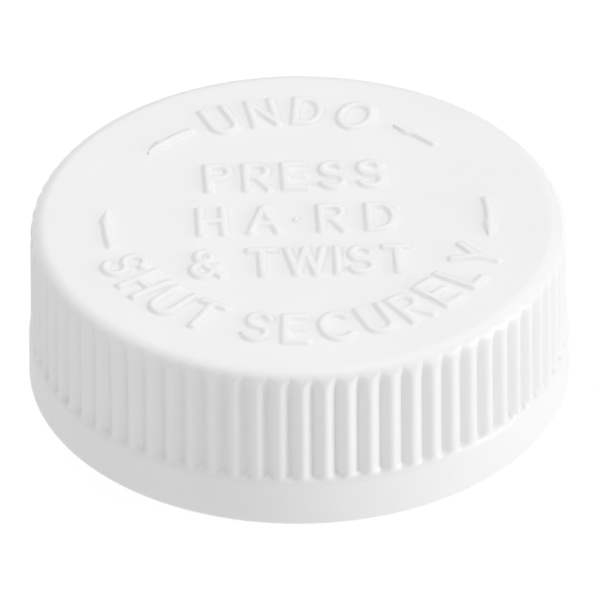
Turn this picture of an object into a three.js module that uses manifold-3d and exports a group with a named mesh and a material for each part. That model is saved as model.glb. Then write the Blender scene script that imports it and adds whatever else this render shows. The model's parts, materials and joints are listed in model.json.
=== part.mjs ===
// Child-resistant push-and-turn screw closure for a 45 mm, 400-series bottle neck.
// Millimetres, +Z up, origin at the centre of the plane that the shell's rim stands on.
// A ribbed outer shell floats over a threaded inner cap. Spring fingers hold the two apart,
// so the shell turns freely until it is pushed down and its lugs drop between the cap's teeth.
import * as THREE from "three";
import { mergeVertices } from "three/addons/utils/BufferGeometryUtils.js";
import Module from "manifold-3d";

const wasm = await Module();
wasm.setup();

const FULL_TURN = 2 * Math.PI;

// ---- Driving dimensions ----
const RIM_RADIUS = 26.0;
const SHELL_HEIGHT = 17.0;
const SHELL_TOP = 1.3; // thickness of the shell's top panel
const SHELL_BORE = 24.1; // radius
const SNAP_BEAD = 0.8; // how far the bead that keeps the inner cap in stands out of the bore
const WALL_DRAFT = 0.25; // how much the outside narrows from rim to top
const RIM_ROUND = 0.2;
const TOP_ROUND = 1.25;

const BAND_HEIGHT = 4.8; // plain band under the ribs
const BAND_STEP = 0.12; // the ribs stand this far inside the band
const RIB_COUNT = 74;
const RIB_DEPTH = 0.6;
const RIB_FOOT = 5.05; // height where the grooves between the ribs end

const LUG_COUNT = 12;
const TOOTH_COUNT = 24;
const LUG_HEIGHT = 1.7;
const LUG_WIDTH = 1.6;
const LUG_INNER = 17.4;
const LUG_OUTER = 21.6;
const TOOTH_INNER = 17.0;
const TOOTH_OUTER = 22.0;
const FREE_GAP = 0.15; // between lugs and teeth while the shell is up

const CAP_RADIUS = 23.75;
const CAP_BORE = 22.75; // thread root radius
const CAP_TOP = 1.2; // thickness of the inner cap's panel
const CAP_FOOT = 1.85; // height of the inner cap's lower edge

const THREAD_CREST = 21.65; // radius
const THREAD_PITCH = 4.233; // six threads to the inch
const THREAD_TURNS = 1.15;
const THREAD_START = 3.5; // height of the thread's lower end

const LINER_RADIUS = 22.4;
const LINER_CORE = 0.8;
const LINER_FILM = 0.1;
const SEAT_GAP = 0.05; // between pieces that rest on each other

const FINGER_COUNT = 6;
const FINGER_INNER = 9.8;
const FINGER_OUTER = 13.2;
const FINGER_REACH = 5.2; // half the length of a finger
const FINGER_RING = 0.4; // thickness of the ring that the fingers stand on

const LEGEND_HEIGHT = 0.3; // how far the lettering stands up
const LETTER = 4.9; // height of a letter
const STROKE = 0.92; // width of a letter's stroke
const ARC_TOP = 18.4; // radius of the middle of the upper word
const ARC_BOTTOM = 18.05; // radius of the middle of the lower words
const ARROW_RADIUS = 18.3;
const LEGEND_TURN = 2.4; // degrees

// ---- Heights that follow from them ----
const SHELL_CEILING = SHELL_HEIGHT - SHELL_TOP;
const LUG_TIP = SHELL_CEILING - LUG_HEIGHT;
const TOOTH_TIP = LUG_TIP - FREE_GAP;
const CAP_DECK = TOOTH_TIP - LUG_HEIGHT;
const CAP_CEILING = CAP_DECK - CAP_TOP;
const LINER_UPPER = CAP_CEILING - SEAT_GAP;

// ---- Small tools ----

// The mesh geometry as a manifold solid, with shared vertices merged and empty triangles dropped.
function solidOf(geometry) {
  const bare = new THREE.BufferGeometry();
  bare.setAttribute("position", geometry.getAttribute("position"));
  bare.setIndex(geometry.index);
  const merged = mergeVertices(bare, 1e-4);
  const corners = merged.index.array;
  const kept = [];
  for (let i = 0; i < corners.length; i += 3) {
    const [a, b, c] = corners.slice(i, i + 3);
    if (a !== b && b !== c && c !== a) kept.push(a, b, c);
  }
  const mesh = new wasm.Mesh({
    numProp: 3,
    vertProperties: new Float32Array(merged.attributes.position.array),
    triVerts: new Uint32Array(kept),
  });
  return new wasm.Manifold(mesh);
}

function geometryOf(solid) {
  const mesh = solid.getMesh();
  const geometry = new THREE.BufferGeometry();
  const position = new THREE.BufferAttribute(mesh.vertProperties, 3);
  geometry.setAttribute("position", position);
  geometry.setIndex(new THREE.BufferAttribute(mesh.triVerts, 1));
  geometry.computeVertexNormals();
  return geometry;
}

// A body of revolution about Z. The profile is [radius, height] pairs, anticlockwise.
function turned(profile, segments) {
  const points = profile.map(([radius, height]) => new THREE.Vector2(radius, height));
  const geometry = new THREE.LatheGeometry(points, segments);
  geometry.rotateX(Math.PI / 2);
  return solidOf(geometry);
}

// A flat outline of [x, y] points, thickened from height low to height high.
function slab(outline, low, high) {
  const shape = new THREE.Shape(outline.map(([x, y]) => new THREE.Vector2(x, y)));
  const geometry = new THREE.ExtrudeGeometry(shape, { depth: high - low, bevelEnabled: false });
  geometry.translate(0, 0, low);
  return solidOf(geometry);
}

// Copies of a solid, evenly spaced about Z.
function ringOf(solid, count) {
  const copies = [];
  for (let i = 0; i < count; i++) copies.push(solid.rotate([0, 0, (360 * i) / count]));
  return wasm.Manifold.union(copies);
}

// The point [x, y] at a radius and an angle in degrees from +X.
function polar(radius, degrees) {
  const angle = THREE.MathUtils.degToRad(degrees);
  return [radius * Math.cos(angle), radius * Math.sin(angle)];
}

// Points [x, y] along an arc of an ellipse, with angles in degrees.
function arc(cx, cy, rx, ry, from, to, steps) {
  const points = [];
  for (let i = 0; i <= steps; i++) {
    const [x, y] = polar(1, from + ((to - from) * i) / steps);
    points.push([cx + rx * x, cy + ry * y]);
  }
  return points;
}

// ---- Lettering: plain capitals drawn as strokes, one unit high ----
const TALL = LETTER - STROKE; // height of the line down the middle of a letter's strokes
const WORD_SPACE = 0.3; // of that height
const BOWL = arc(0.26, 0.74, 0.26, 0.26, 90, -90, 4);
const STEM = [[0, 0], [0, 1]];
const GLYPHS = {
  A: { wide: 0.66, strokes: [[[0, 0], [0.33, 1], [0.66, 0]], [[0.12, 0.34], [0.54, 0.34]]] },
  C: { wide: 0.66, strokes: [arc(0.37, 0.5, 0.37, 0.5, 45, 315, 6)] },
  D: { wide: 0.6, strokes: [[[0.26, 0], [0, 0], [0, 1], [0.26, 1]], arc(0.26, 0.5, 0.34, 0.5, 90, -90, 5)] },
  E: { wide: 0.5, strokes: [[[0.5, 0], [0, 0], [0, 1], [0.48, 1]], [[0, 0.52], [0.44, 0.52]]] },
  H: { wide: 0.56, strokes: [STEM, [[0.56, 0], [0.56, 1]], [[0, 0.52], [0.56, 0.52]]] },
  I: { wide: 0, strokes: [STEM] },
  L: { wide: 0.46, strokes: [[[0, 1], [0, 0], [0.46, 0]]] },
  N: { wide: 0.56, strokes: [[[0, 0], [0, 1], [0.56, 0], [0.56, 1]]] },
  O: { wide: 0.74, strokes: [arc(0.37, 0.5, 0.37, 0.5, 0, 360, 10)] },
  P: { wide: 0.52, strokes: [STEM, [[0, 1], ...BOWL, [0, 0.48]]] },
  R: { wide: 0.54, strokes: [STEM, [[0, 1], ...BOWL, [0, 0.48]], [[0.26, 0.48], [0.54, 0]]] },
  S: {
    wide: 0.52,
    strokes: [[...arc(0.26, 0.75, 0.24, 0.25, 25, 250, 4), ...arc(0.26, 0.25, 0.26, 0.25, 60, -155, 4)]],
  },
  T: { wide: 0.58, strokes: [[[0, 1], [0.58, 1]], [[0.29, 1], [0.29, 0]]] },
  U: { wide: 0.56, strokes: [[[0, 1], ...arc(0.28, 0.28, 0.28, 0.28, 180, 360, 4), [0.56, 1]]] },
  W: { wide: 0.86, strokes: [[[0, 1], [0.2, 0], [0.43, 1]], [[0.43, 1], [0.66, 0], [0.86, 1]]] },
  Y: { wide: 0.62, strokes: [[[0, 1], [0.31, 0.46], [0.62, 1]], [[0.31, 0.46], [0.31, 0]]] },
  "&": {
    wide: 0.66,
    strokes: [
      [
        [0.66, 0],
        [0.14, 0.66],
        ...arc(0.29, 0.79, 0.18, 0.21, 190, -30, 4),
        ...arc(0.25, 0.25, 0.25, 0.25, 130, 300, 4),
        [0.62, 0.42],
      ],
    ],
  },
};

// One straight piece of a stroke, with square ends that reach past its two points.
function bar([x0, y0], [x1, y1], overrun) {
  const length = Math.hypot(x1 - x0, y1 - y0);
  const [dx, dy] = [(x1 - x0) / length, (y1 - y0) / length];
  const half = STROKE / 2;
  const corner = (reach, side) => [x0 + dx * reach - dy * side, y0 + dy * reach + dx * side];
  const outline = [
    corner(-overrun, -half),
    corner(length + overrun, -half),
    corner(length + overrun, half),
    corner(-overrun, half),
  ];
  return slab(outline, SHELL_HEIGHT - LEGEND_HEIGHT, SHELL_HEIGHT + LEGEND_HEIGHT);
}

// The bars of one letter. place turns a point of the letter into a point of the top face.
function letter(name, place) {
  const bars = [];
  for (const stroke of GLYPHS[name].strokes) {
    const overrun = stroke.length > 4 ? 0.2 : STROKE / 2;
    for (let i = 1; i < stroke.length; i++) {
      bars.push(bar(place(stroke[i - 1]), place(stroke[i]), overrun));
    }
  }
  return bars;
}

// The letters of a line: their names, where each one starts and how wide it is, in millimetres.
// The line is span long from edge to edge, and its middle is at zero.
function spread(text, span) {
  const widthOf = (name) => (name === " " ? WORD_SPACE * TALL : GLYPHS[name].wide * TALL + STROKE);
  const widths = [...text].map(widthOf);
  const gap = (span - widths.reduce((sum, width) => sum + width)) / (text.length - 1);
  let at = -span / 2;
  const letters = [...text].map((name, i) => {
    const start = at + STROKE / 2;
    at += widths[i] + gap;
    return { name, start, width: widths[i] - STROKE };
  });
  return letters.filter(({ name }) => name !== " ");
}

// A straight line of letters from left to right.
function straightLine(text, left, right, middle) {
  const centre = (left + right) / 2;
  return spread(text, right - left).flatMap(({ name, start }) =>
    letter(name, ([x, y]) => [centre + start + x * TALL, middle + (y - 0.5) * TALL]),
  );
}

// A line bent round the centre. side is 1 for a line over it and -1 for a line under it.
function bentLine(text, span, radius, side) {
  return spread(text, span).flatMap(({ name, start, width }) => {
    const turn = (start + width / 2) / radius;
    const [c, s] = [Math.cos(turn), Math.sin(turn)];
    return letter(name, ([x, y]) => {
      const along = x * TALL - width / 2;
      const out = radius + side * (y - 0.5) * TALL;
      return [along * c + out * s, side * (out * c - along * s)];
    });
  });
}

// An arrow along a circle, with a barb on one side of its tip. The angles are in degrees from +X.
// side is 1 for an outer barb and -1 for an inner one.
function arrow(tail, tip, side) {
  const neck = tip - Math.sign(tip - tail) * 6; // where the head begins
  const half = STROKE / 2;
  const outer = ARROW_RADIUS + half;
  const inner = ARROW_RADIUS - half;
  const barb = ARROW_RADIUS + side * STROKE * 1.1;
  const head = side > 0 ? [polar(barb, neck), polar(inner, tip)] : [polar(outer, tip), polar(barb, neck)];
  const outline = [
    ...arc(0, 0, outer, outer, tail, neck, 3),
    ...head,
    ...arc(0, 0, inner, inner, neck, tail, 3),
  ];
  return slab(outline, SHELL_HEIGHT - LEGEND_HEIGHT, SHELL_HEIGHT + LEGEND_HEIGHT);
}

// Everything that stands up from the top face, turned a little out of square with the ribs.
function legend() {
  return wasm.Manifold.union([
    ...bentLine("UNDO", 16.9, ARC_TOP, 1),
    arrow(121.5, 138, -1),
    arrow(41, 57, 1),
    ...straightLine("PRESS", -8.8, 8.8, 7.3),
    ...straightLine("HA", -9.8, -1.5, 0.05),
    ...straightLine("RD", 1.7, 9.6, 0.05),
    ...straightLine("& TWIST", -10.8, 10.8, -7),
    arrow(190, 172, -1),
    arrow(9.6, -9, 1),
    ...bentLine("SHUT SECURELY", 45.9, ARC_BOTTOM, -1),
    gateMark(),
  ]).rotate([0, 0, LEGEND_TURN]);
}

// The small nub that the moulding gate leaves at the centre.
function gateMark() {
  const [low, high] = [SHELL_HEIGHT - LEGEND_HEIGHT, SHELL_HEIGHT + 0.25];
  return turned([[0, low], [0.4, low], [0.4, SHELL_HEIGHT + 0.1], [0.2, high], [0, high]], 8);
}

// ---- Pieces ----

function outerShell() {
  const radiusAt = (height) => RIM_RADIUS - (WALL_DRAFT * height) / SHELL_HEIGHT;
  const top = radiusAt(SHELL_HEIGHT) - BAND_STEP;
  const outside = turned(
    [
      [0, 0],
      [RIM_RADIUS - RIM_ROUND, 0],
      [RIM_RADIUS, RIM_ROUND],
      [radiusAt(BAND_HEIGHT), BAND_HEIGHT - 0.12],
      [radiusAt(BAND_HEIGHT) - BAND_STEP, BAND_HEIGHT],
      ...arc(top - TOP_ROUND, SHELL_HEIGHT - TOP_ROUND, TOP_ROUND, TOP_ROUND, 0, 90, 3),
      [0, SHELL_HEIGHT],
    ],
    RIB_COUNT,
  ).rotate([0, 0, 180 / RIB_COUNT]);
  const inside = turned(
    [
      [0, -1],
      [SHELL_BORE, -1],
      [SHELL_BORE, 0.6],
      [SHELL_BORE - SNAP_BEAD, 1.3],
      [SHELL_BORE - SNAP_BEAD, 1.6],
      [SHELL_BORE, 2.0],
      [SHELL_BORE, SHELL_CEILING - 0.5],
      [SHELL_BORE - 0.5, SHELL_CEILING],
      [0, SHELL_CEILING],
    ],
    48,
  );
  return outside.subtract(inside).subtract(ribGrooves()).add(driveLugs()).add(legend());
}

// The grooves that leave the ribs standing, with rounded backs to the ribs and a sharp valley.
function ribGrooves() {
  const crest = RIM_RADIUS - BAND_STEP;
  const pitch = (FULL_TURN * crest) / RIB_COUNT;
  const valley = crest - WALL_DRAFT - RIB_DEPTH;
  const groove = slab(
    [
      [valley, 0],
      [crest - WALL_DRAFT * 0.6 - 0.3 * RIB_DEPTH, -0.25 * pitch],
      [crest + 0.5, -0.45 * pitch],
      [crest + 0.5, 0.45 * pitch],
      [crest - WALL_DRAFT * 0.6 - 0.3 * RIB_DEPTH, 0.25 * pitch],
    ],
    RIB_FOOT,
    SHELL_HEIGHT + 1,
  );
  return ringOf(groove, RIB_COUNT);
}

// Square lugs that hang from the shell's ceiling and turn the inner cap when they drop between its teeth.
function driveLugs() {
  const half = LUG_WIDTH / 2;
  const footprint = [[LUG_INNER, -half], [LUG_OUTER, -half], [LUG_OUTER, half], [LUG_INNER, half]];
  const lug = slab(footprint, LUG_TIP, SHELL_CEILING + 0.3);
  return ringOf(lug, LUG_COUNT);
}

function innerCap() {
  const outside = turned(
    [
      [0, CAP_FOOT],
      [CAP_RADIUS - 0.3, CAP_FOOT],
      [CAP_RADIUS, CAP_FOOT + 0.3],
      [CAP_RADIUS, CAP_DECK - 0.5],
      [CAP_RADIUS - 0.5, CAP_DECK],
      [0, CAP_DECK],
    ],
    48,
  );
  const inside = turned(
    [
      [0, 0],
      [CAP_BORE + 0.45, 0],
      [CAP_BORE + 0.45, CAP_FOOT],
      [CAP_BORE, CAP_FOOT + 0.6],
      [CAP_BORE, CAP_CEILING],
      [0, CAP_CEILING],
    ],
    48,
  );
  return outside.subtract(inside).add(threadRidge()).add(ratchetTeeth());
}

// One ramp-backed tooth: steep where the lug pushes it, sloping where the lug may ride over it.
function ratchetTeeth() {
  const middle = (TOOTH_INNER + TOOTH_OUTER) / 2;
  const gap = LUG_WIDTH / 2 + 0.5;
  const back = (FULL_TURN * middle) / TOOTH_COUNT - gap - 0.5;
  const shape = [
    [gap, CAP_DECK - 0.3],
    [back, CAP_DECK - 0.3],
    [back, CAP_DECK + 0.5],
    [gap + 0.8, TOOTH_TIP],
    [gap, TOOTH_TIP],
  ];
  const tooth = slab(shape, TOOTH_INNER, TOOTH_OUTER);
  const upright = tooth.transform([0, 1, 0, 0, 0, 0, 1, 0, 1, 0, 0, 0, 0, 0, 0, 1]);
  return ringOf(upright, TOOTH_COUNT);
}

// The single-start thread: a bar extruded straight, then wound into a helix that fades out at both ends.
function threadRidge() {
  const depth = CAP_BORE - THREAD_CREST;
  const root = 0.3; // how far the ridge is sunk into the wall
  const section = [[-root, -1.1], [-root, 1.0], [0, 0.95], [depth, 0.75], [depth, -0.2], [0, -1.05]];
  const shape = new THREE.Shape(section.map(([x, y]) => new THREE.Vector2(x, y)));
  const steps = 48;
  const bar = new THREE.ExtrudeGeometry(shape, { depth: 1, steps, bevelEnabled: false });
  const position = bar.getAttribute("position");
  for (let i = 0; i < position.count; i++) {
    const share = position.getZ(i);
    const fade = THREE.MathUtils.smoothstep(Math.min(share, 1 - share), 0, 0.07);
    const turn = share * THREAD_TURNS * FULL_TURN;
    const inward = position.getX(i) > 0 ? position.getX(i) * (0.1 + 0.9 * fade) : position.getX(i);
    const radius = CAP_BORE - inward;
    const height = THREAD_START + share * THREAD_TURNS * THREAD_PITCH + position.getY(i);
    position.setXYZ(i, radius * Math.cos(turn), radius * Math.sin(turn), height);
  }
  return solidOf(bar);
}

// Sprung leaves on a ring. They stand between the inner cap's deck and the shell's ceiling.
function springFingers() {
  const foot = CAP_DECK + SEAT_GAP;
  const tip = SHELL_CEILING - SEAT_GAP;
  const ring = turned(
    [
      [FINGER_INNER - 1, foot],
      [FINGER_OUTER + 1.4, foot],
      [FINGER_OUTER + 1.4, foot + FINGER_RING],
      [FINGER_INNER - 1, foot + FINGER_RING],
      [FINGER_INNER - 1, foot],
    ],
    36,
  );
  const leaf = slab(
    [
      [-FINGER_REACH, foot + 0.1],
      [-FINGER_REACH + 1.4, foot + 0.1],
      [FINGER_REACH - 1.3, tip - 0.65],
      [FINGER_REACH, tip - 0.55],
      [FINGER_REACH, tip],
      [FINGER_REACH - 1.5, tip],
      [-FINGER_REACH + 0.4, foot + FINGER_RING + 0.7],
      [-FINGER_REACH, foot + FINGER_RING + 0.4],
    ],
    FINGER_INNER,
    FINGER_OUTER,
  );
  const upright = leaf.transform([0, 1, 0, 0, 0, 0, 1, 0, 1, 0, 0, 0, 0, 0, 0, 1]);
  return ring.add(ringOf(upright, FINGER_COUNT));
}

// One round layer of the liner.
function linerLayer(low, high) {
  return turned([[0, low], [LINER_RADIUS, low], [LINER_RADIUS, high], [0, high]], 48);
}

// ---- Materials ----
const white = new THREE.MeshStandardMaterial({ color: 0xf4f4f3, roughness: 0.42, metalness: 0 });
const natural = new THREE.MeshStandardMaterial({ color: 0xe9e9e4, roughness: 0.38, metalness: 0 });
const foam = new THREE.MeshStandardMaterial({ color: 0xf0f0ec, roughness: 0.85, metalness: 0 });
const film = new THREE.MeshStandardMaterial({ color: 0xf2f2f0, roughness: 0.3, metalness: 0 });

function part(name, solid, material) {
  const mesh = new THREE.Mesh(geometryOf(solid), material);
  mesh.name = name;
  return mesh;
}

const coreUpper = LINER_UPPER - LINER_FILM;
const coreLower = coreUpper - LINER_CORE;
const closure = new THREE.Group();
closure.add(
  part("outer_shell", outerShell(), white),
  part("inner_cap", innerCap(), natural),
  part("spring_fingers", springFingers(), natural),
  part("liner_back_film", linerLayer(coreUpper, LINER_UPPER), film),
  part("liner_foam_core", linerLayer(coreLower, coreUpper), foam),
  part("liner_seal_film", linerLayer(coreLower - LINER_FILM, coreLower), film),
);

export default closure;
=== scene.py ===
"""A child-resistant push-and-turn closure: outer shell, threaded inner cap, spring fingers, liner."""
import sys
import json
import logging
import math
from collections.abc import Callable, Iterable, Sequence
from dataclasses import dataclass, field
from enum import Enum

import bmesh
import bpy
from mathutils import Matrix, Quaternion, Vector


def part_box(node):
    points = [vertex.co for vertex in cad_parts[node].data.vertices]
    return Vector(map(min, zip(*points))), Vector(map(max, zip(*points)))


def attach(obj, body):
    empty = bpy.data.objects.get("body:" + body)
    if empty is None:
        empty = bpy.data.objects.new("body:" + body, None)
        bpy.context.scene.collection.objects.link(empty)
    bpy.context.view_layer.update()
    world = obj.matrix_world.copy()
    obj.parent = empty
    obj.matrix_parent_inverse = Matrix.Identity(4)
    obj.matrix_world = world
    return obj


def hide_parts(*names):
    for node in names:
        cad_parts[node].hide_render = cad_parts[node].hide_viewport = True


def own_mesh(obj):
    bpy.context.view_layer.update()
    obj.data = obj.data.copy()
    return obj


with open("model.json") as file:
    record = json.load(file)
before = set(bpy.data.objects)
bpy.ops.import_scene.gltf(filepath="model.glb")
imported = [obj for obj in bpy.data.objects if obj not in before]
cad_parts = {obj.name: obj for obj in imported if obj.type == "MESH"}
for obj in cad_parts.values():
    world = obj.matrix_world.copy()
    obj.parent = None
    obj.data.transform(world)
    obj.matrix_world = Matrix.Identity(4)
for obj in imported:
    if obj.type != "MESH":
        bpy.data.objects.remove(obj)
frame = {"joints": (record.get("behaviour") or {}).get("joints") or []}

MM = 0.001
TURN = 2 * math.pi
LOG = logging.getLogger("closure")
CREASE = 32.0  # degrees between faces from which a moulded edge looks sharp

Point = tuple[float, float]
Ring = list[Vector]


class Side(Enum):
    """Whether a bent line of letters runs over the centre or under it."""

    OVER = 1
    UNDER = -1


# ---------------------------------------------------------------- curves


def polar(radius: float, degrees: float) -> Point:
    """A point of the plane at a radius and an angle from +X."""
    angle = math.radians(degrees)
    return radius * math.cos(angle), radius * math.sin(angle)


def eased(share: float) -> float:
    """A share held between 0 and 1, with a gentle start and finish."""
    held = min(1.0, max(0.0, share))
    return held * held * (3 - 2 * held)


def arc(centre: Point, radii: Point, start: float, end: float, step: float = 11.0) -> list[Point]:
    """Points along an arc of an ellipse.

    Args:
        centre: the ellipse's centre.
        radii: its half-widths along x and y.
        start: the first angle, in degrees from +X.
        end: the last angle.
        step: the largest angle between two points.

    Returns:
        The points, both ends included.
    """
    count = max(2, math.ceil(abs(end - start) / step))
    unit = [polar(1.0, start + (end - start) * i / count) for i in range(count + 1)]
    return [(centre[0] + radii[0] * x, centre[1] + radii[1] * y) for x, y in unit]


def normals(path: Sequence[Point], closed: bool) -> list[Vector]:
    """The left-hand normals of a path at its points.

    Args:
        path: the points, without a repeated last one if it is closed.
        closed: whether the last point joins the first.

    Returns:
        One unit vector for each point.
    """
    found = []
    count = len(path)
    for i in range(count):
        before = path[i - 1] if closed or i else path[0]
        after = path[(i + 1) % count] if closed or i < count - 1 else path[-1]
        here = Vector(path[i])
        tangent = Vector((0.0, 0.0))
        for leg in (here - Vector(before), Vector(after) - here):
            if leg.length > 1e-9:
                tangent += leg.normalized()
        tangent.normalize()
        found.append(Vector((-tangent.y, tangent.x)))
    return found


# ---------------------------------------------------------------- meshes


def new_object(name: str, mesh: bpy.types.Mesh) -> bpy.types.Object:
    """An object of this name in the scene that shows the mesh."""
    piece = bpy.data.objects.new(name, mesh)
    bpy.context.scene.collection.objects.link(piece)
    return piece


def mesh_of(name: str, build: bmesh.types.BMesh) -> bpy.types.Mesh:
    """Turns a bmesh in millimetres into a mesh in metres, with its faces outwards.

    Args:
        name: the new mesh's name.
        build: the bmesh, which is freed.

    Returns:
        The mesh.
    """
    bmesh.ops.recalc_face_normals(build, faces=build.faces)
    mesh = bpy.data.meshes.new(name)
    build.to_mesh(mesh)
    build.free()
    mesh.transform(Matrix.Scale(MM, 4))
    return mesh


def bridge(
    build: bmesh.types.BMesh, rings: Sequence[Ring], closed: bool = False
) -> list[list[bmesh.types.BMVert]]:
    """Joins rings of the same number of points with four-sided faces.

    Args:
        build: the bmesh that gets the faces.
        rings: closed rings of points, in order.
        closed: whether the last ring is joined to the first.

    Returns:
        The vertices of each ring.
    """
    made = [[build.verts.new(point) for point in ring] for ring in rings]
    pairs = list(zip(made, made[1:]))
    if closed:
        pairs.append((made[-1], made[0]))
    for lower, upper in pairs:
        count = len(lower)
        for i in range(count):
            j = (i + 1) % count
            build.faces.new((lower[i], lower[j], upper[j], upper[i]))
    return made


def capped(build: bmesh.types.BMesh, rings: Sequence[Ring]) -> None:
    """Joins rings and closes the first and the last with a face each."""
    made = bridge(build, rings)
    build.faces.new(made[0])
    build.faces.new(made[-1])


def turned(build: bmesh.types.BMesh, profile: Sequence[Point], segments: int, closed: bool = False) -> None:
    """Adds a body of revolution about Z.

    Args:
        build: the bmesh that gets it.
        profile: [radius, height] points. An open profile is closed with a flat face at each end.
        segments: how many steps the turn has.
        closed: whether the profile is a loop that stays clear of the axis.
    """
    around = [polar(1.0, 360 * i / segments) for i in range(segments)]
    rings = [[Vector((r * x, r * y, z)) for x, y in around] for r, z in profile]
    if closed:
        bridge(build, rings, closed=True)
    else:
        capped(build, rings)


def prism(build: bmesh.types.BMesh, outline: Sequence[Point], near: float, far: float, soften: float) -> None:
    """Adds a prism whose outline stands in the tangent plane and whose length runs outwards along +X.

    Args:
        build: the bmesh that gets it.
        outline: [sideways, height] points.
        near: radius of its inner end.
        far: radius of its outer end.
        soften: width of the small rounding on its edges.
    """
    rings = [[Vector((radius, y, z)) for y, z in outline] for radius in (near, far)]
    part = bmesh.new()
    capped(part, rings)
    bmesh.ops.bevel(
        part, geom=part.edges[:], offset=soften, offset_type="OFFSET", segments=2, profile=0.5, affect="EDGES"
    )
    bmesh.ops.recalc_face_normals(part, faces=part.faces)
    holder = bpy.data.meshes.new("prism")
    part.to_mesh(holder)
    part.free()
    build.from_mesh(holder)
    bpy.data.meshes.remove(holder)


def repeated(build: bmesh.types.BMesh, count: int) -> None:
    """Repeats everything in the bmesh evenly about Z."""
    source = build.verts[:] + build.edges[:] + build.faces[:]
    for i in range(1, count):
        copy = bmesh.ops.duplicate(build, geom=source)["geom"]
        verts = [item for item in copy if isinstance(item, bmesh.types.BMVert)]
        bmesh.ops.rotate(build, verts=verts, cent=(0, 0, 0), matrix=Matrix.Rotation(TURN * i / count, 3, "Z"))


def fuse(piece: bpy.types.Object, additions: Iterable[bpy.types.Mesh]) -> None:
    """Joins closed meshes onto a piece as one solid, and removes them.

    Args:
        piece: the object that grows.
        additions: meshes in its own frame, each of them closed and clear of itself.
    """
    for mesh in additions:
        helper = new_object("helper", mesh)
        joiner = piece.modifiers.new("join", "BOOLEAN")
        joiner.operation = "UNION"
        joiner.solver = "MANIFOLD"
        joiner.object = helper
        bpy.context.view_layer.update()
        scene_state = bpy.context.evaluated_depsgraph_get()
        joined = bpy.data.meshes.new_from_object(piece.evaluated_get(scene_state))
        piece.modifiers.remove(joiner)
        old = piece.data
        piece.data = joined
        joined.name = piece.name
        bpy.data.meshes.remove(old)
        bpy.data.objects.remove(helper)
        bpy.data.meshes.remove(mesh)


def smooth(piece: bpy.types.Object, crease: float) -> None:
    """Shades a piece smoothly, with sharp edges where its faces meet at more than crease degrees.

    Args:
        piece: the object to shade.
        crease: the smallest angle that stays sharp.
    """
    piece.data.shade_smooth()
    piece.data.set_sharp_from_angle(angle=math.radians(crease))
    weighting = piece.modifiers.new("even shading", "WEIGHTED_NORMAL")
    weighting.keep_sharp = True
    weighting.weight = 60


# ---------------------------------------------------------------- finishes


@dataclass(frozen=True)
class MouldedPlastic:
    """White polyolefin as it leaves a mould: soft gloss, a fine grain and slight sink waves."""

    name: str
    tone: tuple[float, float, float]
    roughness: float = 0.4
    glow: float = 0.15
    grain: float = 0.25
    wave: float = 0.35
    depth: float = 0.9

    def material(self) -> bpy.types.Material:
        """Builds the material.

        Returns:
            A node material that uses object coordinates in metres.
        """
        made = bpy.data.materials.new(self.name)
        made.use_nodes = True
        tree = made.node_tree
        shader = tree.nodes["Principled BSDF"]
        shader.inputs["Subsurface Weight"].default_value = self.glow
        shader.inputs["Subsurface Radius"].default_value = (1.0, 0.95, 0.9)
        shader.inputs["Subsurface Scale"].default_value = self.depth * MM
        shader.inputs["IOR"].default_value = 1.49
        place = tree.nodes.new("ShaderNodeTexCoord").outputs["Object"]
        self._tone(tree, place, shader)
        self._gloss(tree, place, shader)
        self._relief(tree, place, shader)
        return made

    def _tone(self, tree: bpy.types.NodeTree, place: bpy.types.NodeSocket, shader: bpy.types.Node) -> None:
        """Lets the white drift very slightly over a few millimetres.

        Args:
            tree: the material's node tree.
            place: the coordinates to work from.
            shader: the node that gets the colour.
        """
        drift = noise(tree, place, 90.0, 3.0)
        ramp = tree.nodes.new("ShaderNodeValToRGB")
        ramp.color_ramp.elements[0].position = 0.3
        ramp.color_ramp.elements[0].color = (*(0.982 * part for part in self.tone), 1.0)
        ramp.color_ramp.elements[1].position = 0.7
        ramp.color_ramp.elements[1].color = (*self.tone, 1.0)
        tree.links.new(drift, ramp.inputs["Fac"])
        tree.links.new(ramp.outputs["Color"], shader.inputs["Base Color"])

    def _gloss(self, tree: bpy.types.NodeTree, place: bpy.types.NodeSocket, shader: bpy.types.Node) -> None:
        """Varies the gloss in soft patches, as handling and the mould leave it.

        Args:
            tree: the material's node tree.
            place: the coordinates to work from.
            shader: the node that gets the roughness.
        """
        patches = noise(tree, place, 260.0, 4.0)
        spread = tree.nodes.new("ShaderNodeMapRange")
        spread.inputs["From Min"].default_value = 0.3
        spread.inputs["From Max"].default_value = 0.7
        spread.inputs["To Min"].default_value = self.roughness - 0.05
        spread.inputs["To Max"].default_value = self.roughness + 0.06
        tree.links.new(patches, spread.inputs["Value"])
        tree.links.new(spread.outputs["Result"], shader.inputs["Roughness"])

    def _relief(self, tree: bpy.types.NodeTree, place: bpy.types.NodeSocket, shader: bpy.types.Node) -> None:
        """Adds the fine grain of the mould and the long waves of sink.

        Args:
            tree: the material's node tree.
            place: the coordinates to work from.
            shader: the node that gets the normals.
        """
        waves = tree.nodes.new("ShaderNodeBump")
        waves.inputs["Strength"].default_value = self.wave
        waves.inputs["Distance"].default_value = 0.05 * MM
        tree.links.new(noise(tree, place, 170.0, 1.0), waves.inputs["Height"])
        grain = tree.nodes.new("ShaderNodeBump")
        grain.inputs["Strength"].default_value = self.grain
        grain.inputs["Distance"].default_value = 0.01 * MM
        tree.links.new(noise(tree, place, 4200.0, 2.0), grain.inputs["Height"])
        tree.links.new(waves.outputs["Normal"], grain.inputs["Normal"])
        tree.links.new(grain.outputs["Normal"], shader.inputs["Normal"])


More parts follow.
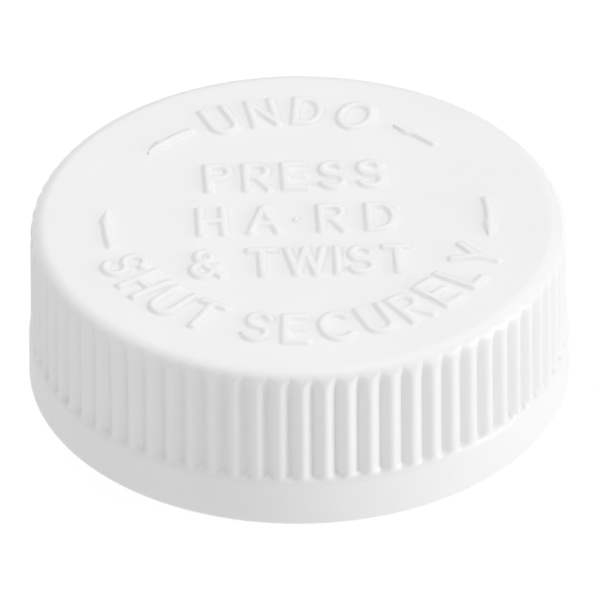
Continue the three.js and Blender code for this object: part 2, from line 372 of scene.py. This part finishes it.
def noise(
    tree: bpy.types.NodeTree, place: bpy.types.NodeSocket, scale: float, detail: float
) -> bpy.types.NodeSocket:
    """Adds a noise texture.

    Args:
        tree: the node tree that gets it.
        place: the coordinates it works from.
        scale: features to the metre.
        detail: how many octaves it has.

    Returns:
        The socket of its value, from 0 to 1.
    """
    texture = tree.nodes.new("ShaderNodeTexNoise")
    texture.inputs["Scale"].default_value = scale
    texture.inputs["Detail"].default_value = detail
    tree.links.new(place, texture.inputs["Vector"])
    return texture.outputs["Fac"]


SHELL_WHITE = MouldedPlastic("shell white", (0.83, 0.83, 0.83), roughness=0.4, glow=0.1)
CAP_WHITE = MouldedPlastic("inner cap white", (0.87, 0.87, 0.86), roughness=0.34, glow=0.2, grain=0.15)
FOAM = MouldedPlastic("foam", (0.86, 0.86, 0.84), roughness=0.8, glow=0.3, grain=1.0, wave=0.6, depth=0.6)
FILM = MouldedPlastic("liner film", (0.88, 0.88, 0.87), roughness=0.28, glow=0.2, grain=0.4, wave=0.8)


# ---------------------------------------------------------------- lettering


@dataclass(frozen=True)
class Stroke:
    """One stroke of a letter, in units of the letter's height."""

    path: tuple[Point, ...]
    closed: bool = False


@dataclass(frozen=True)
class Glyph:
    """A plain capital letter, drawn as strokes from its lower left corner."""

    width: float
    strokes: tuple[Stroke, ...]


def line(*path: Point) -> Stroke:
    """A stroke through these points."""
    return Stroke(tuple(path))


def bowl(height: float, reach: float, drop: float) -> Stroke:
    """The bowl of a P or an R: out from the stem, round and back.

    Args:
        height: the height of its upper arm.
        reach: how far the arms run straight.
        drop: the distance between its two arms.

    Returns:
        The stroke.
    """
    bend = arc((reach, height - drop / 2), (drop / 2, drop / 2), 90, -90)
    return line((0.0, height), *bend, (0.0, height - drop))


STEM = line((0.0, 0.0), (0.0, 1.0))
GLYPHS: dict[str, Glyph] = {
    "A": Glyph(0.66, (line((0, 0), (0.33, 1)), line((0.33, 1), (0.66, 0)), line((0.12, 0.34), (0.54, 0.34)))),
    "C": Glyph(0.66, (line(*arc((0.37, 0.5), (0.37, 0.5), 47, 313)),)),
    "D": Glyph(0.6, (STEM, line((0, 1), *arc((0.26, 0.5), (0.34, 0.5), 90, -90), (0, 0)))),
    "E": Glyph(0.5, (STEM, line((0, 1), (0.48, 1)), line((0, 0.52), (0.44, 0.52)), line((0, 0), (0.5, 0)))),
    "H": Glyph(0.56, (STEM, line((0.56, 0), (0.56, 1)), line((0, 0.52), (0.56, 0.52)))),
    "I": Glyph(0.0, (STEM,)),
    "L": Glyph(0.46, (STEM, line((0, 0), (0.46, 0)))),
    "N": Glyph(0.56, (STEM, line((0, 1), (0.56, 0)), line((0.56, 0), (0.56, 1)))),
    "O": Glyph(0.74, (Stroke(tuple(arc((0.37, 0.5), (0.37, 0.5), 0, 360)[:-1]), closed=True),)),
    "P": Glyph(0.52, (STEM, bowl(1.0, 0.26, 0.52))),
    "R": Glyph(0.54, (STEM, bowl(1.0, 0.26, 0.52), line((0.26, 0.48), (0.54, 0)))),
    "S": Glyph(
        0.52,
        (line(*arc((0.26, 0.75), (0.24, 0.25), 20, 262), *arc((0.26, 0.25), (0.26, 0.25), 78, -158)),),
    ),
    "T": Glyph(0.58, (line((0, 1), (0.58, 1)), line((0.29, 0), (0.29, 1)))),
    "U": Glyph(0.56, (line((0, 1), *arc((0.28, 0.28), (0.28, 0.28), 180, 360), (0.56, 1)),)),
    "W": Glyph(
        0.86,
        (
            line((0, 1), (0.2, 0)),
            line((0.2, 0), (0.43, 1)),
            line((0.43, 1), (0.66, 0)),
            line((0.66, 0), (0.86, 1)),
        ),
    ),
    "Y": Glyph(
        0.62,
        (line((0, 1), (0.31, 0.46)), line((0.62, 1), (0.31, 0.46)), line((0.31, 0), (0.31, 0.46))),
    ),
    "&": Glyph(
        0.66,
        (
            line((0.66, 0), (0.14, 0.66), *arc((0.29, 0.79), (0.17, 0.21), 198, -22)),
            line((0.4, 0.64), *arc((0.25, 0.25), (0.25, 0.25), 120, 300), (0.62, 0.42)),
        ),
    ),
}


@dataclass
class Legend:
    """The raised lettering and arrows on the shell's top, in millimetres."""

    top: float
    rise: float = 0.3
    letter: float = 4.9
    stroke: float = 0.92
    word_space: float = 0.3
    over_radius: float = 18.4
    under_radius: float = 18.05
    arrow_radius: float = 18.3
    head_turn: float = 6.5
    head: tuple[Point, ...] = ((0.9, 1.5), (0.66, 1.14), (0.33, 0.795), (0.0, 0.3))
    shaft_steps: int = 6
    turn: float = 2.4
    sections: tuple[Point, ...] = (
        (1.62, -0.7),
        (1.62, -0.04),
        (1.42, 0.03),
        (1.24, 0.12),
        (1.06, 0.29),
        (0.88, 0.51),
        (0.7, 0.72),
        (0.54, 0.87),
        (0.36, 0.96),
        (0.1, 1.0),
    )
    layers: dict[int, bmesh.types.BMesh] = field(default_factory=dict)

    @property
    def tall(self) -> float:
        """Height of a letter between the middles of its strokes."""
        return self.letter - self.stroke

    def meshes(self) -> list[bpy.types.Mesh]:
        """Draws the whole legend.

        Returns:
            Meshes in metres, with no two beads of one mesh touching.
        """
        self.bent("UNDO", 16.9, self.over_radius, Side.OVER)
        self.straight("PRESS", -8.8, 8.8, 7.3)
        self.straight("HA", -9.8, -1.5, 0.05)
        self.straight("RD", 1.7, 9.6, 0.05)
        self.straight("& TWIST", -10.8, 10.8, -7.0)
        self.bent("SHUT SECURELY", 45.9, self.under_radius, Side.UNDER)
        self.arrow(122.6, 139.2)
        self.arrow(41.9, 57.0)
        self.arrow(190.7, 172.9)
        self.arrow(7.8, -10.5)
        self.gate_nub()
        return [mesh_of("legend", self.layers[key]) for key in sorted(self.layers)]

    def layer(self, index: int) -> bmesh.types.BMesh:
        """The bmesh of a layer, made when it is first asked for."""
        if index not in self.layers:
            self.layers[index] = bmesh.new()
        return self.layers[index]

    def spread(self, text: str, span: float) -> list[tuple[str, float, float]]:
        """Spaces a line of letters evenly, with its middle at zero.

        Args:
            text: the letters, with spaces between words.
            span: the length of the line from edge to edge.

        Returns:
            For each letter its name, where its first stroke stands and the width between its outer strokes.
        """
        widths = [
            self.word_space * self.tall if name == " " else GLYPHS[name].width * self.tall + self.stroke
            for name in text
        ]
        gap = (span - sum(widths)) / (len(text) - 1)
        letters = []
        at = -span / 2
        for name, width in zip(text, widths):
            if name != " ":
                letters.append((name, at + self.stroke / 2, width - self.stroke))
            at += width + gap
        return letters

    def straight(self, text: str, left: float, right: float, middle: float) -> None:
        """Writes a straight line of letters.

        Args:
            text: the letters.
            left: x of the line's left edge.
            right: x of its right edge.
            middle: y of the letters' middle.
        """
        centre = (left + right) / 2
        for order, (name, start, _) in enumerate(self.spread(text, right - left)):

            def place(point: Point, start: float = start) -> Point:
                """Where a point of the letter comes on the top."""
                return centre + start + point[0] * self.tall, middle + (point[1] - 0.5) * self.tall

            self.write(name, place, order)

    def bent(self, text: str, span: float, radius: float, side: Side) -> None:
        """Writes a line of letters round the centre.

        Args:
            text: the letters.
            span: the line's length along the circle.
            radius: radius of the letters' middle.
            side: over or under the centre.
        """
        way = side.value
        for order, (name, start, width) in enumerate(self.spread(text, span)):
            turn = (start + width / 2) / radius

            def place(point: Point, turn: float = turn, width: float = width) -> Point:
                """Where a point of the letter comes on the top."""
                along = point[0] * self.tall - width / 2
                out = radius + way * (point[1] - 0.5) * self.tall
                x = along * math.cos(turn) + out * math.sin(turn)
                y = out * math.cos(turn) - along * math.sin(turn)
                return x, way * y

            self.write(name, place, order)

    def write(self, name: str, place: Callable[[Point], Point], order: int) -> None:
        """Draws one letter.

        Args:
            name: the letter.
            place: turns a point of the letter into a point of the top.
            order: its place in the line. Neighbours go on different layers.
        """
        for index, stroke in enumerate(GLYPHS[name].strokes):
            path = [place(point) for point in stroke.path]
            self.bead(self.layer(index + 4 * (order % 2)), path, stroke.closed)

    def arrow(self, tail: float, tip: float) -> None:
        """Draws an arrow along a circle: a plain shaft and a head that widens, then tapers to the tip.

        Args:
            tail: the angle of its tail, in degrees from +X.
            tip: the angle of its tip.
        """
        back = math.copysign(self.head_turn, tail - tip)
        neck = tip + back
        steps = self.shaft_steps
        turns = [tail + (neck - tail) * i / steps for i in range(steps + 1)]
        turns += [tip + back * share for share, _ in self.head]
        widths = [1.0] * (steps + 1) + [width for _, width in self.head]
        path = [polar(self.arrow_radius, turn) for turn in turns]
        self.bead(self.layer(0), path, closed=False, widths=widths)

    def bead(
        self,
        build: bmesh.types.BMesh,
        path: Sequence[Point],
        closed: bool,
        widths: Sequence[float] | None = None,
    ) -> None:
        """Adds a raised bead along a path, round on top and flared at its foot.

        Args:
            build: the bmesh that gets it.
            path: the middle of the bead, in millimetres.
            closed: whether the path is a loop.
            widths: for an open path, how much wider than a stroke the bead is at each point.
        """
        sideways = normals(path, closed)
        half = self.stroke / 2
        sections = [(half * across, self.top + self.rise * up) for across, up in self.sections]
        if closed:
            across = [(-d, z) for d, z in sections] + [(d, z) for d, z in reversed(sections)]
            rings = []
            for d, z in across:
                rings.append([self._turned(Vector(p) + d * n, z) for p, n in zip(path, sideways)])
            bridge(build, rings, closed=True)
            return
        scale = widths or [1.0] * len(path)
        rings = []
        for d, z in sections:
            left = [Vector(p) + d * w * n for p, n, w in zip(path, sideways, scale)]
            right = [Vector(p) - d * w * n for p, n, w in zip(path, sideways, scale)]
            far = self._end(path[-1], sideways[-1], d * scale[-1])
            near = self._end(path[0], -sideways[0], d * scale[0])
            rings.append([self._turned(point, z) for point in left + far + right[::-1] + near])
        capped(build, rings)

    def _end(self, point: Point, sideways: Vector, reach: float) -> list[Vector]:
        """The rounded-square end of a bead's outline, clockwise from its left side.

        Args:
            point: the last point of the path.
            sideways: the left-hand normal there.
            reach: how far the outline stands off the path.

        Returns:
            The points between the left side and the right side.
        """
        ahead = Vector((sideways.y, -sideways.x))
        points = []
        for degrees in (72, 54, 36, 0, -36, -54, -72):
            c, s = polar(1.0, degrees)
            out = math.copysign(abs(c) ** 0.7, c)
            side = math.copysign(abs(s) ** 0.7, s) if s else 0.0
            points.append(Vector(point) + reach * (out * ahead + side * sideways))
        return points

    def _turned(self, point: Vector, height: float) -> Vector:
        """A point of the legend, turned about the centre with the whole legend."""
        angle = math.radians(self.turn)
        c, s = math.cos(angle), math.sin(angle)
        return Vector((c * point.x - s * point.y, s * point.x + c * point.y, height))

    def gate_nub(self) -> None:
        """Adds the small cratered nub that the moulding gate leaves at the centre."""
        profile = [(0.66, -0.2), (0.66, -0.01), (0.56, 0.03), (0.47, 0.1), (0.38, 0.16), (0.29, 0.18)]
        profile += [(0.21, 0.15), (0.14, 0.09), (0.07, 0.07)]
        build = self.layer(2)
        turned(build, [(r, self.top + z) for r, z in profile], 24)


# ---------------------------------------------------------------- outer shell


@dataclass
class OuterShell:
    """The ribbed outer shell, with its legend, snap bead and drive lugs. Sizes in millimetres."""

    rim: float
    height: float
    bore: float = 24.1
    top_panel: float = 1.3
    draft: float = 0.25
    rim_round: float = 0.35
    top_round: Point = (1.55, 1.3)
    band: float = 4.35
    band_step: float = 0.16
    band_edge: float = 0.6
    rib_foot: float = 4.75
    rib_depth: float = 0.64
    rib_ramp: float = 0.7
    rib_fade: float = 0.6
    rib_fade_height: float = 2.0
    ribs: int = 74
    rib_turn: float = 0.6
    rib_steps: tuple[float, ...] = (0.0, 0.15, 0.3, 0.45, 0.7, 0.96)
    crest_round: float = 0.45
    valley_round: float = 0.06
    lugs: int = 12
    lug_height: float = 1.7
    lug_width: float = 1.6
    lug_span: Point = (17.4, 21.6)
    bead: float = 0.8
    blend: float = 0.35

    @classmethod
    def from_frame(cls, rise: float) -> "OuterShell":
        """Takes the shell's diameter and height from its CAD node.

        Args:
            rise: how far the legend stands above the top face, in millimetres.

        Returns:
            The shell.
        """
        low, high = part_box("outer_shell")
        return cls(rim=(high.x - low.x) / 2 / MM, height=(high.z - low.z) / MM - rise)

    @property
    def ceiling(self) -> float:
        """Height of the underside of the top panel."""
        return self.height - self.top_panel

    def build(self) -> bpy.types.Object:
        """Makes the shell.

        Returns:
            The finished piece.
        """
        body = bmesh.new()
        capped(body, self._rings())
        piece = new_object("shell", mesh_of("shell", body))
        fuse(piece, [self._lug_mesh(), *Legend(top=self.height).meshes()])
        smooth(piece, CREASE)
        piece.data.materials.clear()
        piece.data.materials.append(SHELL_WHITE.material())
        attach(piece, "outer_shell")
        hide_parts("outer_shell")
        return piece

    def wall(self, height: float) -> float:
        """Outside radius of the wall at a height, before the ribs are cut."""
        return self.rim - self.draft * height / self.height

    def _outer_profile(self) -> list[Point]:
        """The outside from the rim to the edge of the top face."""
        r0 = self.rim_round
        points = arc((self.rim - r0, r0), (r0, r0), -90, 0, 15)
        points += [(self.wall(z), z) for z in (1.6, 3.2)]
        for z in self._rib_heights():
            points.append((self.wall(z) - self.band_step * eased((z - self.band) / self.band_edge), z))
        across, down = self.top_round
        shoulder = self.wall(self.height) - self.band_step - across
        points += arc((shoulder, self.height - down), self.top_round, 0, 90, 4.0)
        points += [(shoulder - 0.4, self.height), (shoulder - 1.4, self.height)]
        return points

    def _rib_heights(self) -> list[float]:
        """Heights of the rings up the ribs, close together at the band's edge and the grooves' feet."""
        close = [self.band + 0.1 * i for i in range(13)]
        return close + [6.0, 8.0, 10.0, 12.0, 14.0, 15.2]

    def _inner_profile(self) -> list[Point]:
        """The inside from the ceiling down to the rim."""
        bore, top = self.bore, self.ceiling
        points = [(12.0, top), (bore - 0.5, top)]
        points += arc((bore - 0.5, top - 0.5), (0.5, 0.5), 75, 0, 15)
        points += [(bore, 8.0), (bore, 2.1), (bore - 0.06, 1.98)]
        points += arc((bore - self.bead + 0.16, 1.46), (0.16, 0.16), 60, 300, 30)[1:-1]
        points += [(bore - 0.1, 0.75), (bore, 0.55), (bore, 0.25)]
        points += arc((bore + 0.2, 0.2), (0.2, 0.2), 180, 270, 22.5)
        return points

    def _rings(self) -> list[Ring]:
        """Rings of points from the ceiling's middle, down the inside and up the outside to the top."""
        places = self._places()
        around = [(math.cos(angle), math.sin(angle)) for angle, _ in places]
        rings = [[Vector((r * c, r * s, z)) for c, s in around] for r, z in self._inner_profile()]
        for r, z in self._outer_profile():
            reach = [self._cut(r, z, from_crest) for _, from_crest in places]
            rings.append([Vector((k * c, k * s, z)) for k, (c, s) in zip(reach, around)])
        return rings

    def _places(self) -> list[Point]:
        """The angles of the points round the wall, rib by rib from one valley to the next.

        Returns:
            [angle, share] pairs, with the share of the way from the rib's crest, 0, to its valleys, 1.
        """
        rising = [(-share, share) for share in (1.0, *reversed(self.rib_steps))]
        falling = [(share, share) for share in self.rib_steps[1:]]
        pitch = TURN / self.ribs
        first = math.radians(self.rib_turn - 90)
        return [
            (first + pitch * (rib + side / 2), share)
            for rib in range(self.ribs)
            for side, share in rising + falling
        ]

    def _flank(self, share: float) -> float:
        """How deep a groove is at one place across it.

        Args:
            share: the place, from 0 at the crest to 1 in the valley.

        Returns:
            The share of the full depth: rounded at the crest and in the valley, straight between them.
        """
        crest, valley = self.crest_round, self.valley_round
        slope = 1 / (1 - (crest + valley) / 2)
        if share < crest:
            return slope * share**2 / (2 * crest)
        if share > 1 - valley:
            return 1 - slope * (1 - share) ** 2 / (2 * valley)
        return slope * (share - crest / 2)

    def _cut(self, radius: float, height: float, share: float) -> float:
        """Radius of the outside at one place, with the groove between two ribs taken off.

        The groove starts with a sloping foot and grows shallower where it runs out over the shoulder.

        Args:
            radius: the profile's radius.
            height: the place's height.
            share: the place across the rib, from 0 at its crest to 1 in the valley.

        Returns:
            The radius that is left.
        """
        if height < self.rib_foot:
            return radius
        crest = max(radius, self.wall(height) - self.band_step)
        ramp = eased((height - self.rib_foot) / self.rib_ramp)
        fade = eased(1.2 - (self.height - height) / self.rib_fade_height)
        depth = self.rib_depth * self._flank(share) * ramp * (1 - self.rib_fade * fade)
        inset = crest - radius
        soft = min(self.blend, inset)
        near = max(soft - abs(depth - inset), 0.0)
        return crest - max(depth, inset) - (near * near / soft / 4 if soft > 0 else 0.0)

    def _lug_mesh(self) -> bpy.types.Mesh:
        """The drive lugs under the ceiling."""
        half = self.lug_width / 2
        low, high = self.ceiling - self.lug_height, self.ceiling + 0.4
        build = bmesh.new()
        prism(build, [(-half, low), (half, low), (half, high), (-half, high)], *self.lug_span, 0.15)
        repeated(build, self.lugs)
        return mesh_of("lugs", build)


# ---------------------------------------------------------------- inner cap


@dataclass
class InnerCap:
    """The threaded inner cap with its ratchet teeth. Sizes in millimetres."""

    radius: float
    foot: float
    tooth_tip: float
    bore: float = 22.75
    panel: float = 1.2
    tooth_height: float = 1.7
    teeth: int = 24
    tooth_span: Point = (17.0, 22.0)
    tooth_gap: float = 1.3
    thread_crest: float = 21.65
    thread_pitch: float = 4.233
    thread_turns: float = 1.15
    thread_start: float = 3.5

    @classmethod
    def from_frame(cls) -> "InnerCap":
        """Takes the cap's radius and heights from its CAD node."""
        low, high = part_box("inner_cap")
        return cls(radius=(high.x - low.x) / 2 / MM, foot=low.z / MM, tooth_tip=high.z / MM)

    @property
    def deck(self) -> float:
        """Height of the panel's upper face."""
        return self.tooth_tip - self.tooth_height

    @property
    def ceiling(self) -> float:
        """Height of the panel's lower face."""
        return self.deck - self.panel

    def build(self) -> bpy.types.Object:
        """Makes the inner cap.

        Returns:
            The finished piece.
        """
        body = bmesh.new()
        turned(body, self._profile(), 180)
        piece = new_object("threaded_cap", mesh_of("threaded_cap", body))
        fuse(piece, [self._thread_mesh(), self._teeth_mesh()])
        smooth(piece, CREASE)
        piece.data.materials.clear()
        piece.data.materials.append(CAP_WHITE.material())
        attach(piece, "inner_cap")
        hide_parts("inner_cap")
        return piece

    def _profile(self) -> list[Point]:
        """The section from the middle of the lower face, round the skirt, to the middle of the deck."""
        r, bore = self.radius, self.bore
        points = [(10.0, self.ceiling), (bore - 0.25, self.ceiling)]
        points += arc((bore - 0.25, self.ceiling - 0.25), (0.25, 0.25), 67.5, 0, 22.5)
        points += [(bore, self.foot + 0.75), (bore + 0.3, self.foot + 0.12), (bore + 0.38, self.foot)]
        points += [(r - 0.42, self.foot)]
        points += arc((r - 0.4, self.foot + 0.4), (0.4, 0.4), -75, 0, 15)
        points += arc((r - 0.5, self.deck - 0.5), (0.5, 0.5), 0, 90, 15)
        points += [(10.0, self.deck)]
        return points

    def _thread_mesh(self) -> bpy.types.Mesh:
        """The single-start thread, fading into the wall at both ends."""
        depth = self.bore - self.thread_crest
        section = [(-0.3, -1.1), (-0.3, 1.0), (0.0, 0.95)]
        section += [(0.35 * depth, 0.86), (0.8 * depth, 0.78), (0.95 * depth, 0.68), (depth, 0.5)]
        section += [(depth, 0.0), (0.95 * depth, -0.18), (0.8 * depth, -0.36)]
        section += [(0.4 * depth, -0.74), (0.0, -1.05)]
        steps = 190
        rings = []
        for i in range(steps + 1):
            share = i / steps
            fade = 0.08 + 0.92 * eased(min(share, 1 - share) / 0.07)
            turn = share * self.thread_turns * TURN
            rise = self.thread_start + share * self.thread_turns * self.thread_pitch
            ring = []
            for inward, up in section:
                radius = self.bore - (inward * fade if inward > 0 else inward)
                ring.append(Vector((radius * math.cos(turn), radius * math.sin(turn), rise + up)))
            rings.append(ring)
        build = bmesh.new()
        capped(build, rings)
        return mesh_of("thread", build)

    def _teeth_mesh(self) -> bpy.types.Mesh:
        """The ratchet teeth: steep where a lug drives them, sloping where it rides over them."""
        pitch = TURN * sum(self.tooth_span) / 2 / self.teeth
        back = pitch - self.tooth_gap - 0.5
        low = self.deck - 0.3
        outline = [
            (self.tooth_gap, low),
            (back, low),
            (back, self.deck + 0.5),
            (self.tooth_gap + 0.8, self.tooth_tip),
            (self.tooth_gap, self.tooth_tip),
        ]
        build = bmesh.new()
        prism(build, outline, *self.tooth_span, 0.12)
        repeated(build, self.teeth)
        return mesh_of("teeth", build)


# ---------------------------------------------------------------- spring fingers


@dataclass
class SpringFingers:
    """Six sprung leaves on a ring, between the inner cap and the shell. Sizes in millimetres."""

    foot: float
    tip: float
    fingers: int = 6
    span: Point = (9.8, 13.2)
    ring: Point = (8.8, 14.6)
    ring_height: float = 0.4
    reach: float = 5.2
    travel: float = 1.3

    @classmethod
    def from_frame(cls) -> "SpringFingers":
        """Takes the fingers' heights from their CAD node and their travel from the push joint."""
        low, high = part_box("spring_fingers")
        travel = next(joint["range_m"][1] for joint in frame["joints"] if joint["name"] == "push_down")
        return cls(foot=low.z / MM, tip=high.z / MM, travel=travel / MM)

    def build(self) -> bpy.types.Object:
        """Makes the fingers.

        Returns:
            The finished piece.
        """
        inner, outer = self.ring
        low, high = self.foot, self.foot + self.ring_height
        edge = 0.08
        loop = [(inner, low + edge), (inner + edge, low), (outer - edge, low), (outer, low + edge)]
        loop += [(outer, high - edge), (outer - edge, high), (inner + edge, high), (inner, high - edge)]
        body = bmesh.new()
        turned(body, loop, 120, closed=True)
        piece = new_object("fingers", mesh_of("fingers", body))
        fuse(piece, [self._leaf_mesh()])
        smooth(piece, CREASE)
        piece.data.materials.clear()
        piece.data.materials.append(CAP_WHITE.material())
        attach(piece, "inner_cap")
        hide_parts("spring_fingers")
        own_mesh(piece)
        return piece

    def _leaf_mesh(self) -> bpy.types.Mesh:
        """The leaves: each one rises from the ring and curves level at its tip."""
        start, end = -self.reach, self.reach
        low, top = self.foot + 0.1, self.tip
        under, over = [], []
        for i in range(9):
            share = i / 8
            ease = eased(share) * 0.6 + share * 0.4
            x = start + 0.9 + (end - start - 0.9) * share
            middle = self.foot + 0.75 + (top - 0.3 - self.foot - 0.75) * ease
            thick = 0.42 - 0.14 * share
            under.append((x, middle - thick))
            over.append((x, min(middle + thick, top)))
        outline = [(start, low), (start + 0.9, low), *under[1:], *reversed(over), (start, self.foot + 0.8)]
        build = bmesh.new()
        prism(build, outline, *self.span, 0.07)
        repeated(build, self.fingers)
        return mesh_of("leaves", build)


# ---------------------------------------------------------------- liner


@dataclass
class LinerLayer:
    """One round layer of the liner."""

    node: str
    piece_name: str
    slot: str
    finish: MouldedPlastic
    bulge: float

    def build(self) -> bpy.types.Object:
        """Makes the layer, its edge a little rounded by the die that cuts it.

        Returns:
            The finished piece.
        """
        low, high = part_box(self.node)
        radius = (high.x - low.x) / 2 / MM
        bottom, top = low.z / MM, high.z / MM
        middle, half = (bottom + top) / 2, (top - bottom) / 2
        edge = arc((radius - self.bulge, middle), (self.bulge, half), -90, 90, 15)
        profile = [(radius - 6.0, bottom), *edge, (radius - 6.0, top)]
        body = bmesh.new()
        turned(body, profile, 160)
        piece = new_object(self.piece_name, mesh_of(self.piece_name, body))
        smooth(piece, 40.0)
        piece.data.materials.append(self.finish.material())
        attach(piece, "liner")
        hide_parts(self.node)
        return piece


@dataclass
class Liner:
    """The three-layer liner under the inner cap's panel."""

    layers: tuple[LinerLayer, ...] = (
        LinerLayer("liner_back_film", "back_film", "liner_back", FILM, 0.04),
        LinerLayer("liner_foam_core", "foam_core", "liner_foam", FOAM, 0.12),
        LinerLayer("liner_seal_film", "seal_film", "liner_seal", FILM, 0.04),
    )

    def build(self) -> list[bpy.types.Object]:
        """Makes all the layers."""
        return [layer.build() for layer in self.layers]


# ---------------------------------------------------------------- studio


@dataclass(frozen=True)
class SoftBox:
    """A large soft light that looks at the closure."""

    name: str
    azimuth: float
    elevation: float
    distance: float
    size: Point
    power: float

    def build(self, target: Vector) -> bpy.types.Object:
        """Sets the light up.

        Args:
            target: the point that it looks at.

        Returns:
            The light.
        """
        lamp = bpy.data.lights.new(self.name, "AREA")
        lamp.shape = "RECTANGLE"
        lamp.size, lamp.size_y = self.size
        lamp.energy = self.power
        light = bpy.data.objects.new(self.name, lamp)
        bpy.context.scene.collection.objects.link(light)
        a, e = math.radians(self.azimuth), math.radians(self.elevation)
        away = Vector((math.sin(a) * math.cos(e), -math.cos(a) * math.cos(e), math.sin(e)))
        light.location = target + self.distance * away
        light.rotation_mode = "QUATERNION"
        light.rotation_quaternion = (-away).to_track_quat("-Z", "Y")
        return light


@dataclass
class Studio:
    """The pale table, the soft lights and the camera."""

    table: float = 6.0
    sky: float = 0.05
    table_glow: float = 0.9
    table_tone: float = 0.12
    boxes: tuple[SoftBox, ...] = (
        SoftBox("overhead", 0.0, 88.0, 1.3, (1.6, 1.6), 15.0),
        SoftBox("right side", 79.0, 10.0, 1.3, (0.5, 0.5), 9.2),
        SoftBox("front", -15.0, 30.0, 1.3, (1.2, 0.9), 3.0),
        SoftBox("back", 180.0, 40.0, 1.3, (1.2, 0.9), 5.0),
        SoftBox("near left", -90.0, 65.0, 0.35, (0.3, 0.3), 0.1),
    )
    elevation: float = 35.19
    distance: float = 0.9979
    focal: float = 624.29
    slide: Point = (0.117, -0.679)
    roll: float = -0.0064

    def build(self, target: Vector) -> None:
        """Sets up the whole studio round the closure.

        Args:
            target: the middle of the closure.
        """
        self._floor()
        self._sky()
        for box in self.boxes:
            box.build(target)
        self._camera(target)
        bpy.context.scene.view_settings.view_transform = "Standard"

    def _floor(self) -> None:
        """Lays the pale table top, which is lit from inside like a light table."""
        build = bmesh.new()
        bmesh.ops.create_grid(build, x_segments=1, y_segments=1, size=self.table / 2 / MM)
        floor = new_object("floor", mesh_of("floor", build))
        floor.location.z = -0.02 * MM
        pale = bpy.data.materials.new("pale table")
        pale.use_nodes = True
        shader = pale.node_tree.nodes["Principled BSDF"]
        shader.inputs["Base Color"].default_value = (self.table_tone, self.table_tone, self.table_tone, 1.0)
        shader.inputs["Roughness"].default_value = 0.9
        shader.inputs["Specular IOR Level"].default_value = 0.0
        shader.inputs["Emission Color"].default_value = (1.0, 1.0, 1.0, 1.0)
        shader.inputs["Emission Strength"].default_value = self.table_glow
        floor.data.materials.append(pale)

    def _sky(self) -> None:
        """Fills the room with an even soft grey light."""
        world = bpy.data.worlds.new("studio")
        world.use_nodes = True
        background = world.node_tree.nodes["Background"]
        background.inputs["Color"].default_value = (1.0, 1.0, 1.0, 1.0)
        background.inputs["Strength"].default_value = self.sky
        bpy.context.scene.world = world

    def _camera(self, target: Vector) -> None:
        """Places the camera in front of the closure and above it.

        Args:
            target: the middle of the closure.
        """
        e = math.radians(self.elevation)
        back = Vector((0.0, -math.cos(e), math.sin(e)))
        up = Vector((0.0, math.sin(e), math.cos(e)))
        slide = Vector((self.slide[0], 0.0, 0.0)) * MM + up * self.slide[1] * MM
        lens = bpy.data.cameras.new("camera")
        lens.sensor_width = 36.0
        lens.lens = self.focal
        lens.clip_start, lens.clip_end = 0.01, 20.0
        camera = bpy.data.objects.new("camera", lens)
        bpy.context.scene.collection.objects.link(camera)
        camera.location = target + back * self.distance + slide
        camera.rotation_mode = "QUATERNION"
        look = (-back).to_track_quat("-Z", "Y")
        camera.rotation_quaternion = look @ Quaternion((0.0, 0.0, 1.0), self.roll)
        bpy.context.scene.camera = camera


# ---------------------------------------------------------------- the whole closure


def main() -> None:
    """Builds the closure and its studio, and logs the number of faces of each piece."""
    logging.basicConfig(level=logging.INFO, format="%(name)s: %(message)s", stream=sys.stdout)
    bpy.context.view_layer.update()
    shell = OuterShell.from_frame(rise=Legend.rise)
    pieces = [shell.build(), InnerCap.from_frame().build(), SpringFingers.from_frame().build()]
    pieces += Liner().build()
    for piece in pieces:
        LOG.info("%s: %d faces", piece.name, len(piece.data.polygons))
    Studio().build(Vector((0.0, 0.0, shell.height / 2 * MM)))
    bpy.context.view_layer.update()


if __name__ == "__main__":
    main()
